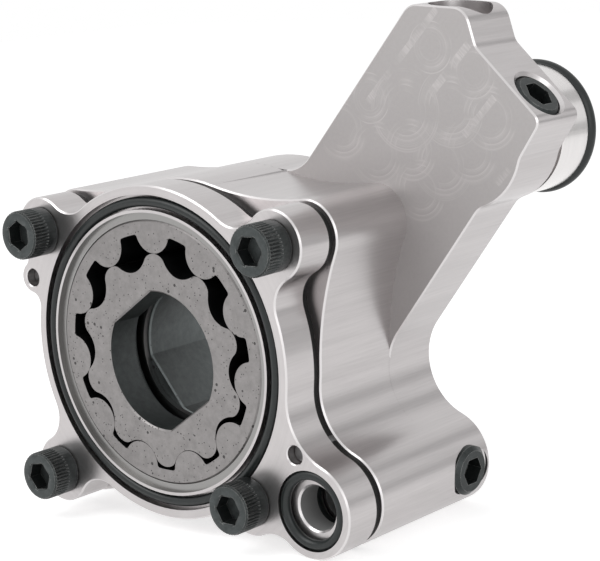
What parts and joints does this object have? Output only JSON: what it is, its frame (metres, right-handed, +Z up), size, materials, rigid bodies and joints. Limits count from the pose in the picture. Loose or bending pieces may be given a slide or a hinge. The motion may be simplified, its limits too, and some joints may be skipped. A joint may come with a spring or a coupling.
{
  "type": "engine oil pump",
  "caption": "Engine oil pump with meshing gerotor rotors in a milled aluminium housing; a broad arm carries plugged oilways and a spigot with a seal ring.",
  "frame": {"origin": "on the drive axis, in the plane of the front face that meets the engine", "axes": "+Y from the front face into the pump along the drive axis, +Z up, +X towards the side with the arm"},
  "size_m": [0.1043, 0.0625, 0.0969],
  "materials": {
    "housing": "milled, with fine cutter lines",
    "turned": "turned, bright",
    "dark_plate": "hard anodised, dark",
    "sintered": "sintered iron, ground faces with pores",
    "steel_plate": "ground",
    "black_steel": "black oxide",
    "pin_steel": "ground",
    "seal": "moulded, satin"
  },
  "bodies": {
    "pump_body": {"front_housing": "housing", "divider_plate": "dark_plate", "rear_housing": "housing", "inlet_spigot": "turned", "separator_plate": "steel_plate", "separator_seal": "seal", "face_seal_ring": "seal", "port_seal_ring": "seal", "transfer_seal": "seal", "spigot_seal_ring": "seal", "cap_screws": "black_steel", "dowel_pins": "pin_steel", "arm_side_plug": "black_steel", "arm_top_plug": "black_steel", "boss_side_plug": "black_steel"},
    "feed_ring": {"feed_outer_rotor": "sintered"},
    "feed_core": {"feed_inner_rotor": "sintered"},
    "scavenge_ring": {"scavenge_outer_rotor": "sintered"},
    "scavenge_core": {"scavenge_inner_rotor": "sintered"}
  },
  "joints": [
    {"name": "feed_outer_spin", "type": "hinge", "parent": "pump_body", "child": "feed_ring", "pos_m": [0, 0.004, 0.0016], "axis": [0, 1, 0], "continuous": true},
    {"name": "feed_inner_spin", "type": "hinge", "parent": "pump_body", "child": "feed_core", "pos_m": [0, 0.004, 0], "axis": [0, 1, 0], "continuous": true},
    {"name": "scavenge_outer_spin", "type": "hinge", "parent": "pump_body", "child": "scavenge_ring", "pos_m": [0, 0.0197, 0.0016], "axis": [0, 1, 0], "continuous": true},
    {"name": "scavenge_inner_spin", "type": "hinge", "parent": "pump_body", "child": "scavenge_core", "pos_m": [0, 0.0197, 0], "axis": [0, 1, 0], "continuous": true}
  ],
  "couplings": [
    {"joint": "feed_inner_spin", "follows": "feed_outer_spin", "ratio": 1.1},
    {"joint": "scavenge_inner_spin", "follows": "scavenge_outer_spin", "ratio": 1.1}
  ]
}
